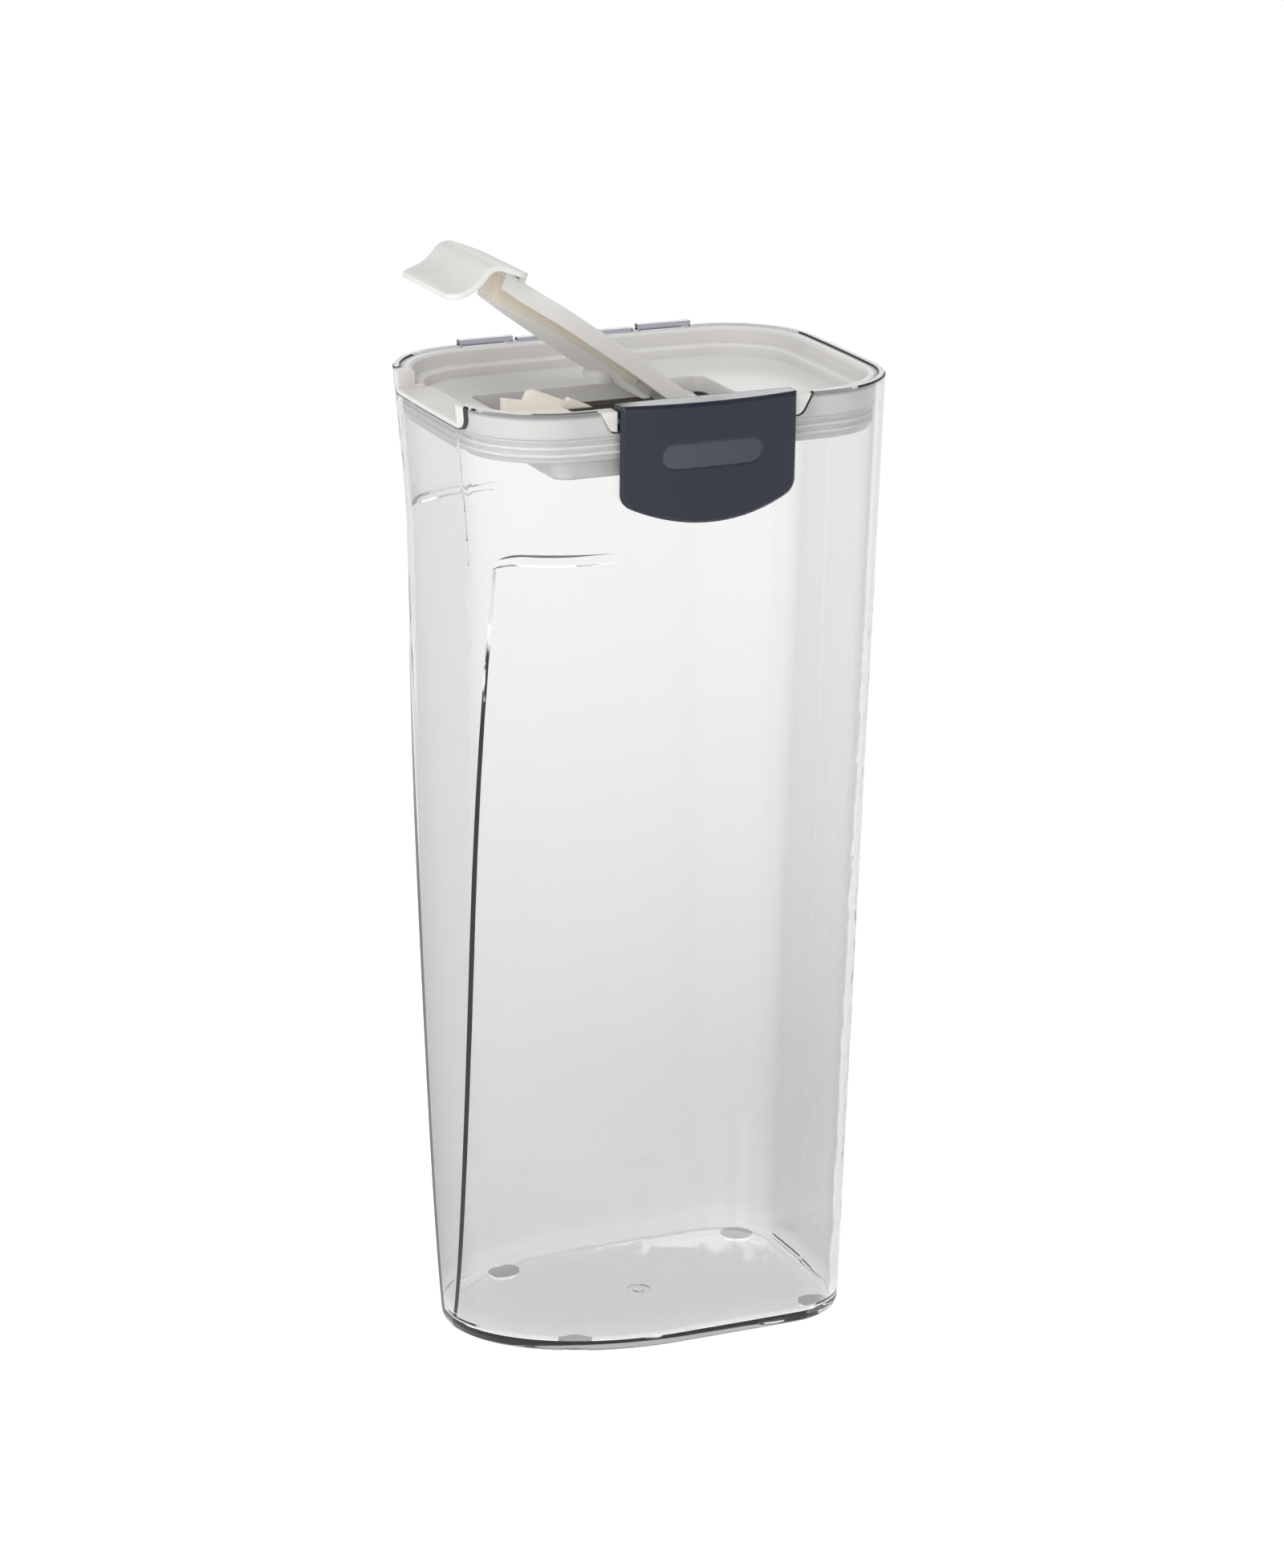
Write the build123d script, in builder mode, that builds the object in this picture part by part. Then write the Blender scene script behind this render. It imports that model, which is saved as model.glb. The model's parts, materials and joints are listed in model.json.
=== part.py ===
# Tall pasta keeper: a clear shell, a white plug lid with a flip-up spout arm, and a front latch.
# Millimetres. X runs along the mouth's length, with the spout at -X, and the latch is on -Y.
# The origin is on the ground under the middle of the mouth.
from build123d import *
from math import sqrt
import os

os.makedirs("parts", exist_ok=True)

# Shell
shell_height = 290.0
shell_wall = 2.4
shell_floor = 3.0
mouth_half_length = 66.0
mouth_half_width = 50.0
mouth_corner = 28.0
mouth_bow = 1.2
base_left_draft = 3.7
base_right_draft = 10.5
base_side_draft = 9.6
base_corner = 20.0
base_bow = 0.5
base_edge_round = 3.0
floor_edge_round = 2.0
edge_steps = (0, 0.1, 0.4, 1)
flare_height = 44.0
flare_blend = 12.0
flare_steps = (0, 0.7, 1.3, 2)
rim_chamfer = 0.5
gate_radius = 3.6
gate_depth = 0.4

# Hand grips pressed into the two spout-side corners
grip_below_rim = 44.0
grip_corner = 9.0
grip_shoulder_run = 0.8
grip_shoulder_drop = 14.4
grip_edge_drop = 18.0
grip_length_low = 59.3
grip_length_high = 42.3
grip_tip_low = 0.1
grip_tip_high = 12.7
grip_fullness = 0.5523
grip_lap = 0.03

# Feet
foot_radius = 5.0
foot_height = 1.3
foot_recess = 0.4
foot_fit = 0.1
foot_chamfer = 0.3
foot_from_left = 29.4
foot_from_right = 10.0
foot_from_side = 11.0

# Lid
lid_gap = 0.35
lid_below_rim = 0.4
lid_flange_depth = 7.3
lid_wall = 2.65
ledge_depth = 4.4
ledge_width = 3.0
tray_depth = 7.6
tray_floor = 2.0
neck_inset = 3.6
neck_wall = 1.8
seal_height = 5.2
seal_gap = 0.65
seal_fit = 0.3
seal_rib_proud = 0.7
seal_rib_height = 0.9
seal_rib_count = 3
base_ring_height = 1.7
base_ring_inset = 1.3
lid_chamfer = 0.6

# Spout channel and the notch that it leaves through
notch_half_width = 28.0
notch_depth = 7.4
notch_corner = 4.0
notch_gap = 0.5
channel_half_width = 23.5
channel_thickness = 1.5
channel_length = 11.5
channel_corner = 2.5
part_gap = 0.3

# Well under the lid, which takes the lowered arm, and the tub round it. Places along X are
# measured from the spout end of the mouth.
well_left_from_spout = 20.0
well_right_from_spout = 93.0
well_half_width = 16.5
well_wall = 1.8
well_corner = 3.0
tub_side_inset = 10.0
tub_left_from_spout = 24.0
tub_right_from_spout = 98.0
tub_corner = 5.0
tub_depth = 6.4
tub_wall = 1.6
pour_left_from_spout = 28.0
pour_right_from_spout = 70.0
pour_half_width = 15.0

# Front latch
cutout_half_top = 33.0
cutout_half_bottom = 29.5
cutout_depth = 6.6
cutout_corner = 3.0
lug_gap = 0.4
lug_set_back = 0.1
latch_half_width = 26.8
latch_proud = 5.0
latch_bow = 3.2
latch_wall = 1.8
latch_rise = 1.2
latch_head = 1.9
latch_back_inset = 3.8
latch_drop = 34.9
latch_bottom_bow = 6.7
latch_corner = 5.0
latch_lean = 1.0
latch_chamfer = 0.8
latch_clear = 0.4
latch_cheek = 3.4
latch_pin_radius = 1.3
latch_pin_half_length = 30.0
latch_barrel_radius = 2.6
latch_pin_inset = 2.2
latch_pin_below_rim = 3.4
pocket_depth = 7.4
pocket_wall = 1.4
pocket_wall_below_top = 1.5
badge_length = 30.6
badge_height = 7.4
badge_thickness = 0.5
badge_set_back = 0.1
badge_below_rim = 13.8
catch_half_width = 12.0
catch_height = 2.0
catch_proud = 1.1
catch_below_rim = 25.0
hook_height = 2.2
hook_lap = 0.1
hook_gap = 1.2

# Rear hinge: two loops on the rim that the lid hooks under
loop_inner = 20.0
loop_outer = 37.0
loop_rise = 1.5
loop_bar = 2.2
loop_post = 1.4
window_depth = 4.0
rear_hook_clear = 0.9
rear_hook_thickness = 1.3
rear_hook_side_gap = 0.5
rear_hook_nose_gap = 0.6
rear_hook_nose = 1.5
rear_hook_curl = 1.0
rear_rise = 0.7
rear_half = 18.5

# Spout arm, drawn lowered and then turned up about its pin. Points are x from the spout end
# of the mouth and height above the rim.
arm_open = 21.9
arm_pin_x_from_spout = 86.0
arm_pin_below_rim = 15.0
arm_pin_radius = 1.4
arm_barrel_radius = 3.6
arm_cheek_half_length = 5.0
arm_half_width = 15.8
arm_plate = 1.6
arm_skirt = 5.2
arm_skirt_wall = 1.7
arm_line = (
    (6.0, 6.2),
    (13.0, 4.3),
    (27.0, 1.6),
    (39.0, -1.3),
    (53.2, -4.7),
    (75.1, -10.9),
    (85.0, -13.7),
)
tab_half_width = 20.0
tab_sheet = 1.7
tab_right_from_spout = 11.7
tab_above_rim = 7.5
tab_end = 3.2
tab_corner = 4.0
tab_fold = (3.0, 7.5)
tab_middle = (-2.3, 3.4)
tab_lip = (-10.1, -5.2)
hull_half_width = 6.0
hull_lip = 1.2
hull_line = (
    (9.0, -4.0),
    (17.0, -5.2),
    (28.2, -6.5),
    (41.7, -9.0),
    (56.6, -13.5),
    (66.0, -15.6),
)
keel_line = (
    (9.0, -4.4),
    (17.0, -6.7),
    (28.2, -9.6),
    (41.7, -13.0),
    (56.6, -15.3),
    (66.0, -16.8),
)
keel_least = 0.05
keel_flat = 1.5
boss_x_from_spout = 51.5
boss_y = 1.0
boss_radius = 4.8
boss_below_rim = 15.8
arm_seal_right_from_spout = 60.0
arm_seal_thickness = 1.0

# Serving gauge
gauge_near = -10.6
gauge_far = -8.0
gauge_foot = 1.0
gauge_foot_near = -22.0
gauge_right_from_spout = 38.0
gauge_line = (
    (20.0, -3.3),
    (26.4, -4.5),
    (27.7, -2.0),
    (29.6, -1.5),
    (39.5, -5.7),
    (40.4, -4.8),
    (47.5, -8.0),
)

pin_fit = 0.02
running_fit = 0.06

# Heights and places that several pieces share
rim = shell_height
spout_end = -mouth_half_length
base_left = mouth_half_length - base_left_draft
base_right = mouth_half_length - base_right_draft
base_half_width = mouth_half_width - base_side_draft
foot_left = foot_from_left - base_left
foot_right = base_right - foot_from_right
foot_side = base_half_width - foot_from_side
grip_top = rim - grip_below_rim
base_z = foot_height - foot_recess
lid_top = rim - lid_below_rim
flange_bottom = lid_top - lid_flange_depth
ledge_z = lid_top - ledge_depth
floor_z = lid_top - tray_depth
seal_bottom = flange_bottom - seal_height
base_ring_bottom = seal_bottom - base_ring_height
tub_bottom = base_ring_bottom - tub_depth
tub_floor_z = tub_bottom + tub_wall
notch_z = rim - notch_depth
channel_z = notch_z + part_gap + channel_thickness
channel_right = -(mouth_half_length - channel_length)
cutout_z = rim - cutout_depth
pocket_z = cutout_z + part_gap
pocket_half_width = latch_half_width + latch_clear
latch_top = rim + latch_rise
latch_front = mouth_half_width + latch_proud
latch_back = mouth_half_width - latch_back_inset
pocket_back = mouth_half_width - pocket_depth
latch_head_z = latch_top - latch_head
latch_bottom = latch_top - latch_drop
latch_pin_y = -(mouth_half_width - latch_pin_inset)
latch_pin_z = rim - latch_pin_below_rim
catch_z = rim - catch_below_rim
tub_half_width = mouth_half_width - tub_side_inset
tub_left = spout_end + tub_left_from_spout
tub_right = spout_end + tub_right_from_spout
well_left = spout_end + well_left_from_spout
well_right = spout_end + well_right_from_spout
pour_left = spout_end + pour_left_from_spout
pour_right = spout_end + pour_right_from_spout
arm_pin_x = spout_end + arm_pin_x_from_spout
arm_pin_z = rim - arm_pin_below_rim
arm_seal_right = spout_end + arm_seal_right_from_spout
boss_x = spout_end + boss_x_from_spout
boss_bottom = rim - boss_below_rim
tab_right = spout_end + tab_right_from_spout
tab_top = rim + tab_above_rim
gauge_right = spout_end + gauge_right_from_spout
loop_mid = (loop_inner + loop_outer) / 2
loop_sag = mouth_bow * (loop_mid / mouth_half_length) ** 2
bar_z = rim + loop_rise - loop_bar
window_z = bar_z - window_depth
lid_hinge_y = mouth_half_width - shell_wall / 2 - loop_sag
lid_hinge_z = rim + loop_rise - loop_bar / 2
flange_inset = shell_wall + lid_gap
recess_inset = flange_inset + lid_wall
neck_outer = flange_inset + neck_inset
seal_inset = shell_wall + seal_gap
far = 200.0
overlap = 0.01
overcut = 1.0


# Place of a point given from the spout end of the mouth and above the rim
def placed(point):
    return (spout_end + point[0], rim + point[1])


# Sizes of the outline at a height, between the base and the mouth
def along(low, high, z):
    return low + (high - low) * z / shell_height


def left_side(z):
    flare = max(0.0, z - (shell_height - flare_height - flare_blend))
    full = flare_height + flare_blend
    grow = mouth_half_length - base_left
    if flare <= 2 * flare_blend:
        rise = flare ** 2 / (4 * flare_blend)
    else:
        rise = flare - flare_blend
    return base_left + grow * rise / (full - flare_blend)


def half_width(z):
    return along(base_half_width, mouth_half_width, z)


# Outline of the mouth at a height: four bowed sides with rounded corners, set in by inset
def outline(z, inset=0.0):
    left = left_side(z) - inset
    right = along(base_right, mouth_half_length, z) - inset
    half = half_width(z) - inset
    bow = along(base_bow, mouth_bow, z)
    corner = along(base_corner, mouth_corner, z) - inset
    with BuildSketch(Plane.XY.offset(z)) as sketch:
        with BuildLine():
            ThreePointArc((-left + bow, -half + bow), ((right - left) / 2, -half), (right - bow, -half + bow))
            ThreePointArc((right - bow, -half + bow), (right, 0), (right - bow, half - bow))
            ThreePointArc((right - bow, half - bow), ((right - left) / 2, half), (-left + bow, half - bow))
            ThreePointArc((-left + bow, half - bow), (-left, 0), (-left + bow, -half + bow))
        make_face()
        fillet(sketch.vertices(), corner)
    return sketch.sketch


# Region outside the pressed-in corners at a height: everything beyond a bullet-shaped end
def grip_region(z, inset=0.0):
    share = z / grip_top
    centre = grip_length_low + (grip_length_high - grip_length_low) * share - base_left
    tip = inset - base_left - grip_tip_low - (grip_tip_high - grip_tip_low) * share
    half = half_width(z) - inset + grip_lap
    pull = (centre - tip) * grip_fullness
    with BuildSketch(Plane.XY.offset(z)) as sketch:
        with BuildLine():
            Bezier((centre, -half), (centre - pull, -half), (tip, -half * grip_fullness), (tip, 0))
            Bezier((tip, 0), (tip, half * grip_fullness), (centre - pull, half), (centre, half))
            Polyline((centre, half), (centre, far), (-far, far))
            Polyline((-far, far), (-far, -far), (centre, -far), (centre, -half))
        make_face()
    return sketch.sketch


# Solid of the shell's outside or inside from low up: a rounded foot edge, then the top's stations
def shell_form(low, inset, edge_round, top_stations):
    kink = shell_height - flare_height - flare_blend
    foot_edge = []
    for share in edge_steps:
        foot_edge.append((low + edge_round * share, edge_round * (1 - sqrt(1 - (1 - share) ** 2))))
    bend = [(kink + flare_blend * step, 0) for step in flare_steps]
    stations = foot_edge + bend + top_stations
    with BuildPart() as form:
        for lower, upper in zip(stations, stations[1:]):
            for z, extra in (lower, upper):
                add(outline(z, inset + extra))
            loft()
    stations = [(low - overcut, edge_round)] + foot_edge + [(grip_top + inset, 0)]
    with BuildPart() as press:
        for lower, upper in zip(stations, stations[1:]):
            for z, extra in (lower, upper):
                add(grip_region(z, inset + extra))
            loft()
    corner_x = -base_left + inset
    top = grip_top + inset
    with BuildPart() as keep:
        with BuildSketch(Plane.XZ):
            with BuildLine():
                Polyline((far, 0), (far, top), (corner_x + grip_corner, top))
                RadiusArc((corner_x + grip_corner, top), (corner_x, top - grip_corner), -grip_corner)
                Polyline(
                    (corner_x, top - grip_corner),
                    (corner_x - grip_shoulder_run, top - grip_shoulder_drop),
                    (-far, top - grip_edge_drop),
                    (-far, 0),
                    (far, 0),
                )
            make_face()
        extrude(amount=far, both=True)
    return form.part - (press.part & keep.part)


# Solid that follows the mouth's drafted sides from low to high, with its inset at each
def drafted(low, high, inset_low, inset_high):
    with BuildPart() as form:
        add(outline(low, inset_low))
        add(outline(high, inset_high))
        loft()
    return form.part


# Box between pairs of x, y and z, added to the open part or cut from it
def block(x, y, z, mode=Mode.ADD):
    with Locations(((x[0] + x[1]) / 2, (y[0] + y[1]) / 2, (z[0] + z[1]) / 2)):
        Box(x[1] - x[0], y[1] - y[0], z[1] - z[0], mode=mode)


# The same with its upright corners rounded
def rounded_block(x, y, z, corner, mode=Mode.ADD):
    with BuildSketch(Plane.XY.offset(z[0])) as plan:
        with Locations(((x[0] + x[1]) / 2, (y[0] + y[1]) / 2)):
            Rectangle(x[1] - x[0], y[1] - y[0])
        fillet(plan.vertices(), corner)
    extrude(plan.sketch, amount=z[1] - z[0], mode=mode)


# Plate with the side profile of the points, from y0 to y1
def side_plate(points, y0, y1, mode=Mode.ADD):
    with BuildSketch(Plane.XZ.offset(-y1)) as profile:
        Polygon(*points, align=None)
    extrude(profile.sketch, amount=y1 - y0, mode=mode)


# Height of a side line at x, straight between its points
def line_z(line, x):
    for (x0, z0), (x1, z1) in zip(line, line[1:]):
        if x <= x1:
            return z0 + (z1 - z0) * (x - x0) / (x1 - x0)
    return line[-1][1]


# Front cut-out of the rim, made smaller by gap
def cutout_profile(gap):
    slope = (cutout_half_top - cutout_half_bottom) / cutout_depth
    low = cutout_half_bottom - gap
    height = cutout_depth + far
    with BuildSketch(Plane.XZ) as profile:
        with BuildLine():
            Polyline(
                (-low - slope * height, cutout_z + height),
                (-low, cutout_z + gap),
                (low, cutout_z + gap),
                (low + slope * height, cutout_z + height),
                close=True,
            )
        make_face()
        fillet(profile.vertices().group_by(Axis.Y)[0], cutout_corner)
    return profile.sketch


# Piece of the rim raised from z0 to z1 between x0 and x1 at the rear
def rear_rim(x0, x1, z0, z1):
    with BuildPart() as piece:
        add(outline(rim) - outline(rim, shell_wall))
        extrude(amount=z1 - rim)
        add(outline(rim) - outline(rim, shell_wall))
        extrude(amount=z0 - rim)
        block((x0, x1), (0, far), (0, far + rim), Mode.INTERSECT)
    return piece.part


chamfer_z = rim - rim_chamfer
outside = shell_form(base_z, 0.0, base_edge_round, [(chamfer_z, 0), (rim, rim_chamfer)])
mouth_flare = [(chamfer_z, 0), (rim, -rim_chamfer), (rim + overcut, -rim_chamfer)]
inside = shell_form(base_z + shell_floor, shell_wall, floor_edge_round, mouth_flare)

# Clear container: the shell with its notch, front cut-out, catch, rear loops and foot recesses
with BuildPart() as container_body:
    add(outside)
    side_plate(
        (
            (-catch_half_width, catch_z + catch_height),
            (catch_half_width, catch_z + catch_height),
            (catch_half_width - catch_proud, catch_z),
            (-catch_half_width + catch_proud, catch_z),
        ),
        -half_width(catch_z) - catch_proud,
        -half_width(catch_z) + shell_wall,
    )
    add(inside, mode=Mode.SUBTRACT)
    add(rear_rim(-rear_half, rear_half, rim - loop_bar, rim + rear_rise))
    for side in (-1, 1):
        ends = sorted((side * loop_inner, side * loop_outer))
        add(rear_rim(ends[0], ends[1], bar_z, rim + loop_rise))
        window = (ends[0] + loop_post, ends[1] - loop_post)
        block(window, (mouth_half_width / 2, far), (window_z, bar_z), Mode.SUBTRACT)
    with BuildSketch(Plane.YZ.offset(-far)) as notch:
        with Locations((0, notch_z + far / 2)):
            Rectangle(2 * notch_half_width, far)
        fillet(notch.vertices().group_by(Axis.Y)[0], notch_corner)
    extrude(amount=far - mouth_half_length / 2, mode=Mode.SUBTRACT)
    extrude(cutout_profile(0), amount=far, dir=(0, -1, 0), mode=Mode.SUBTRACT)
    with Locations((0, 0, base_z)):
        with Locations(*[(x, y) for x in (foot_left, foot_right) for y in (-foot_side, foot_side)]):
            Cylinder(foot_radius + foot_fit, 2 * foot_recess, mode=Mode.SUBTRACT)
        Cylinder(gate_radius, 2 * gate_depth, mode=Mode.SUBTRACT)
        Cylinder(gate_radius / 2, gate_depth, align=(Align.CENTER, Align.CENTER, Align.MIN))
container_body.part.label = "container_body"

# Clear foot pads under the four corners
feet = {}
for name, x, y in (
    ("foot_front_left", foot_left, -foot_side),
    ("foot_front_right", foot_right, -foot_side),
    ("foot_rear_left", foot_left, foot_side),
    ("foot_rear_right", foot_right, foot_side),
):
    with BuildPart(Plane((x, y, 0))) as foot:
        Cylinder(foot_radius, foot_height, align=(Align.CENTER, Align.CENTER, Align.MIN))
        chamfer(foot.edges().sort_by(Axis.Z)[0], foot_chamfer)
    foot.part.label = name
    feet[name] = foot.part

# Parts of the tray that reach out through the shell: spout channel and lugs beside the latch
with BuildPart() as spout_reach:
    add(drafted(notch_z + part_gap, lid_top, 0, 0))
    with BuildSketch(Plane.YZ.offset(-far)) as mouth:
        with Locations((0, notch_z + part_gap + far / 2)):
            Rectangle(2 * (notch_half_width - notch_gap), far)
        fillet(mouth.vertices().group_by(Axis.Y)[0], notch_corner)
    extrude(amount=far - mouth_half_length + recess_inset, mode=Mode.INTERSECT)
with BuildPart() as latch_lugs:
    extrude(cutout_profile(lug_gap), amount=far, dir=(0, -1, 0))
    add(drafted(pocket_z, lid_top, lug_set_back, lug_set_back), mode=Mode.INTERSECT)
    block((-far, far), (-far, recess_inset - mouth_half_width), (0, far + rim), Mode.INTERSECT)

# White tray: flange, neck, stepped recess, spout channel, latch pocket, well and rear hooks
with BuildPart() as lid_tray:
    add(drafted(flange_bottom, lid_top - lid_chamfer, flange_inset, flange_inset))
    add(drafted(lid_top - lid_chamfer, lid_top, flange_inset, flange_inset + lid_chamfer))
    add(outline(seal_bottom, neck_outer))
    extrude(amount=flange_bottom - seal_bottom)
    add(outline(ledge_z, recess_inset))
    extrude(amount=far, mode=Mode.SUBTRACT)
    add(outline(floor_z, recess_inset + ledge_width))
    extrude(amount=far, mode=Mode.SUBTRACT)
    mouth_edge = recess_inset - lid_chamfer
    add(drafted(lid_top - lid_chamfer, lid_top, recess_inset, mouth_edge), mode=Mode.SUBTRACT)
    ledge_inset = recess_inset + ledge_width
    ledge_edge = ledge_inset - lid_chamfer
    add(drafted(ledge_z - lid_chamfer, ledge_z, ledge_inset, ledge_edge), mode=Mode.SUBTRACT)
    add(spout_reach.part)
    add(latch_lugs.part)
    add(outline(seal_bottom, neck_outer + neck_wall))
    extrude(amount=floor_z - tray_floor - seal_bottom, mode=Mode.SUBTRACT)
    floor_left = recess_inset + ledge_width - left_side(floor_z)
    channel = (-channel_half_width, channel_half_width)
    block((floor_left - neck_wall, channel_right), channel, (flange_bottom, channel_z))
    block((floor_left - lid_chamfer, channel_right), channel, (floor_z - tray_floor, flange_bottom))
    reach = (-far, channel_right + overlap)
    rounded_block(reach, channel, (channel_z, far + rim), channel_corner, Mode.SUBTRACT)
    shelf = pocket_half_width + pocket_wall
    wall_top = lid_top - pocket_wall_below_top
    wall_y = -(mouth_half_width - recess_inset) - lid_wall / 2
    block((-shelf, shelf), (wall_y, -pocket_back + pocket_wall), (flange_bottom, wall_top))
    block((-shelf, shelf), (-pocket_back, -pocket_back + pocket_wall), (floor_z - tray_floor, wall_top))
    block((-pocket_half_width, pocket_half_width), (-far, -pocket_back), (pocket_z, far + rim), Mode.SUBTRACT)
    well = (well_left - well_wall, well_right + well_wall)
    well_sides = (-well_half_width - well_wall, well_half_width + well_wall)
    rounded_block(well, well_sides, (seal_bottom, floor_z - tray_floor), well_corner + well_wall)
    well_cut = (-well_half_width, well_half_width)
    rounded_block((well_left, well_right), well_cut, (0, floor_z), well_corner, Mode.SUBTRACT)
    cheek_reach = (arm_pin_x - arm_cheek_half_length, arm_pin_x + arm_cheek_half_length)
    for side in (-1, 1):
        cheek = sorted((side * well_half_width, side * (well_half_width + well_wall)))
        block(cheek_reach, cheek, (arm_pin_z, floor_z - tray_floor))
        with Locations(Location((arm_pin_x, (cheek[0] + cheek[1]) / 2, arm_pin_z), (90, 0, 0))):
            Cylinder(arm_barrel_radius, well_wall)
            Cylinder(arm_pin_radius + pin_fit, 2 * well_wall, mode=Mode.SUBTRACT)
        ends = sorted((side * (loop_inner + loop_post), side * (loop_outer - loop_post)))
        hook = (ends[0] + rear_hook_side_gap, ends[1] - rear_hook_side_gap)
        hook_top = bar_z - rear_hook_clear
        nose = mouth_half_width - loop_sag + rear_hook_nose_gap
        hook_low = hook_top - rear_hook_thickness
        block(hook, (mouth_half_width - recess_inset, nose + rear_hook_nose), (hook_low, hook_top))
        block(hook, (nose, nose + rear_hook_nose), (hook_low, hook_top + rear_hook_curl))
    with Locations(Location((0, latch_pin_y, latch_pin_z), (0, 90, 0))):
        Cylinder(latch_pin_radius + pin_fit, 2 * latch_pin_half_length, mode=Mode.SUBTRACT)
lid_tray.part.label = "lid_tray"

# Grey silicone seal round the tray's neck
with BuildPart() as lid_seal:
    add(outline(seal_bottom, seal_inset + seal_rib_proud))
    extrude(amount=seal_height)
    pitch = (seal_height - seal_rib_height) / (seal_rib_count - 1)
    for rib in range(seal_rib_count):
        add(outline(seal_bottom + rib * pitch, seal_inset))
        extrude(amount=seal_rib_height)
    add(outline(seal_bottom, neck_outer - seal_fit))
    extrude(amount=seal_height, mode=Mode.SUBTRACT)
lid_seal.part.label = "lid_seal"

# White base plate that closes the lid from below, with the tub under the well
with BuildPart() as lid_base:
    add(outline(base_ring_bottom, flange_inset + base_ring_inset))
    extrude(amount=base_ring_height)
    tub_sides = (-tub_half_width, tub_half_width)
    rounded_block((tub_left, tub_right), tub_sides, (tub_bottom, base_ring_bottom), tub_corner)
    chamfer(lid_base.edges().group_by(Axis.Z)[0], tub_wall / 2)
    hollow = (-tub_half_width + tub_wall, tub_half_width - tub_wall)
    ends = (tub_left + tub_wall, tub_right - tub_wall)
    rounded_block(ends, hollow, (tub_floor_z, seal_bottom), tub_corner - tub_wall, Mode.SUBTRACT)
    pour = (-pour_half_width, pour_half_width)
    rounded_block((pour_left, pour_right), pour, (0, tub_floor_z), well_corner, Mode.SUBTRACT)
lid_base.part.label = "lid_base"

# Stepped serving gauge that stands in the well
with BuildPart() as serving_gauge:
    steps = [placed(point) for point in gauge_line]
    left = steps[0][0]
    profile = [(left, floor_z)] + steps[:-1] + [(steps[-1][0], floor_z)]
    side_plate(profile, gauge_near, gauge_far)
    block((left, gauge_right), (gauge_foot_near, gauge_far), (floor_z, floor_z + gauge_foot))
serving_gauge.part.label = "serving_gauge"

arm_side = [placed(point) for point in arm_line]
hull_side = [placed(point) for point in hull_line]
keel_side = [placed(point) for point in keel_line]

# Spout arm, drawn lowered: plate, skirts, hull with its keel, pull tab and barrel
with BuildPart() as arm_lowered:
    under = [(x, z - arm_plate) for x, z in reversed(arm_side)]
    skirt_low = [(x, z - arm_skirt) for x, z in reversed(arm_side)]
    side_plate(arm_side + under, -arm_half_width, arm_half_width)
    for side in (-1, 1):
        skirt = sorted((side * (arm_half_width - arm_skirt_wall), side * arm_half_width))
        side_plate(arm_side + skirt_low, skirt[0], skirt[1])
    for (x0, z0), (x1, z1) in zip(hull_side, hull_side[1:]):
        for x in (x0, x1):
            top = line_z(arm_side, x) - arm_plate / 2
            side_z = line_z(hull_side, x)
            keel_z = min(line_z(keel_side, x), side_z - keel_least)
            with BuildSketch(Plane.YZ.offset(x)):
                with BuildLine():
                    Polyline(
                        (-hull_half_width, top),
                        (-hull_half_width, side_z),
                        (-keel_flat, keel_z),
                        (keel_flat, keel_z),
                        (hull_half_width, side_z),
                        (hull_half_width, top),
                        close=True,
                    )
                make_face()
        loft(ruled=True)
    with Locations((boss_x, boss_y, boss_bottom)):
        boss_height = line_z(arm_side, boss_x) - boss_bottom - arm_plate / 2
        Cylinder(boss_radius, boss_height, align=(Align.CENTER, Align.CENTER, Align.MIN))
    with Locations(Location((arm_pin_x, 0, arm_pin_z), (90, 0, 0))):
        Cylinder(arm_barrel_radius, 2 * arm_half_width)
        Cylinder(arm_pin_radius + running_fit, far, mode=Mode.SUBTRACT)
with BuildPart() as pull_tab:
    with BuildSketch(Plane.XZ.offset(-tab_half_width)):
        with BuildLine():
            flat = Line((tab_right, tab_top), placed(tab_fold))
            fold = TangentArc(flat @ 1, placed(tab_middle), tangent=flat % 1)
            lip = TangentArc(fold @ 1, placed(tab_lip), tangent=fold % 1)
            inner = []
            for line, end in ((flat, 0), (flat, 1), (fold, 1), (lip, 1)):
                way = line % end
                inner.append(line @ end + Vector(-way.Y, way.X) * tab_sheet)
            Line(lip @ 1, inner[3])
            TangentArc(inner[3], inner[2], tangent=-(lip % 1))
            TangentArc(inner[2], inner[1], tangent=-(fold % 1))
            Polyline(inner[1], inner[0], flat @ 0)
        make_face()
    extrude(amount=2 * tab_half_width)
    tab_sides = (-tab_half_width, tab_half_width)
    block((tab_right - tab_sheet, tab_right), tab_sides, (tab_top - tab_end, tab_top))
    rounded_block((placed(tab_lip)[0], tab_right), tab_sides, (0, far + rim), tab_corner, Mode.INTERSECT)
pin_axis = Axis((arm_pin_x, 0, arm_pin_z), (0, 1, 0))
with BuildPart() as spout_arm:
    add(arm_lowered.part.rotate(pin_axis, arm_open))
    add(pull_tab.part.rotate(pin_axis, arm_open))
spout_arm.part.label = "spout_arm"

# Cream silicone band round the arm's hull
with BuildPart() as band_lowered:
    hull_left = hull_side[0][0]
    bends = [x for x, z in arm_side + hull_side if hull_left <= x < arm_seal_right]
    stations = [hull_left - arm_seal_thickness] + sorted(bends) + [arm_seal_right]
    upper = [(x, line_z(arm_side, x) - arm_plate) for x in stations]
    lower = [(x, line_z(hull_side, x) + hull_lip) for x in reversed(stations)]
    side_plate(upper + lower, -hull_half_width - arm_seal_thickness, hull_half_width + arm_seal_thickness)
    block((hull_left, far), (-hull_half_width, hull_half_width), (0, far + rim), Mode.SUBTRACT)
with BuildPart() as arm_seal:
    add(band_lowered.part.rotate(pin_axis, arm_open))
arm_seal.part.label = "arm_seal"

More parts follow.
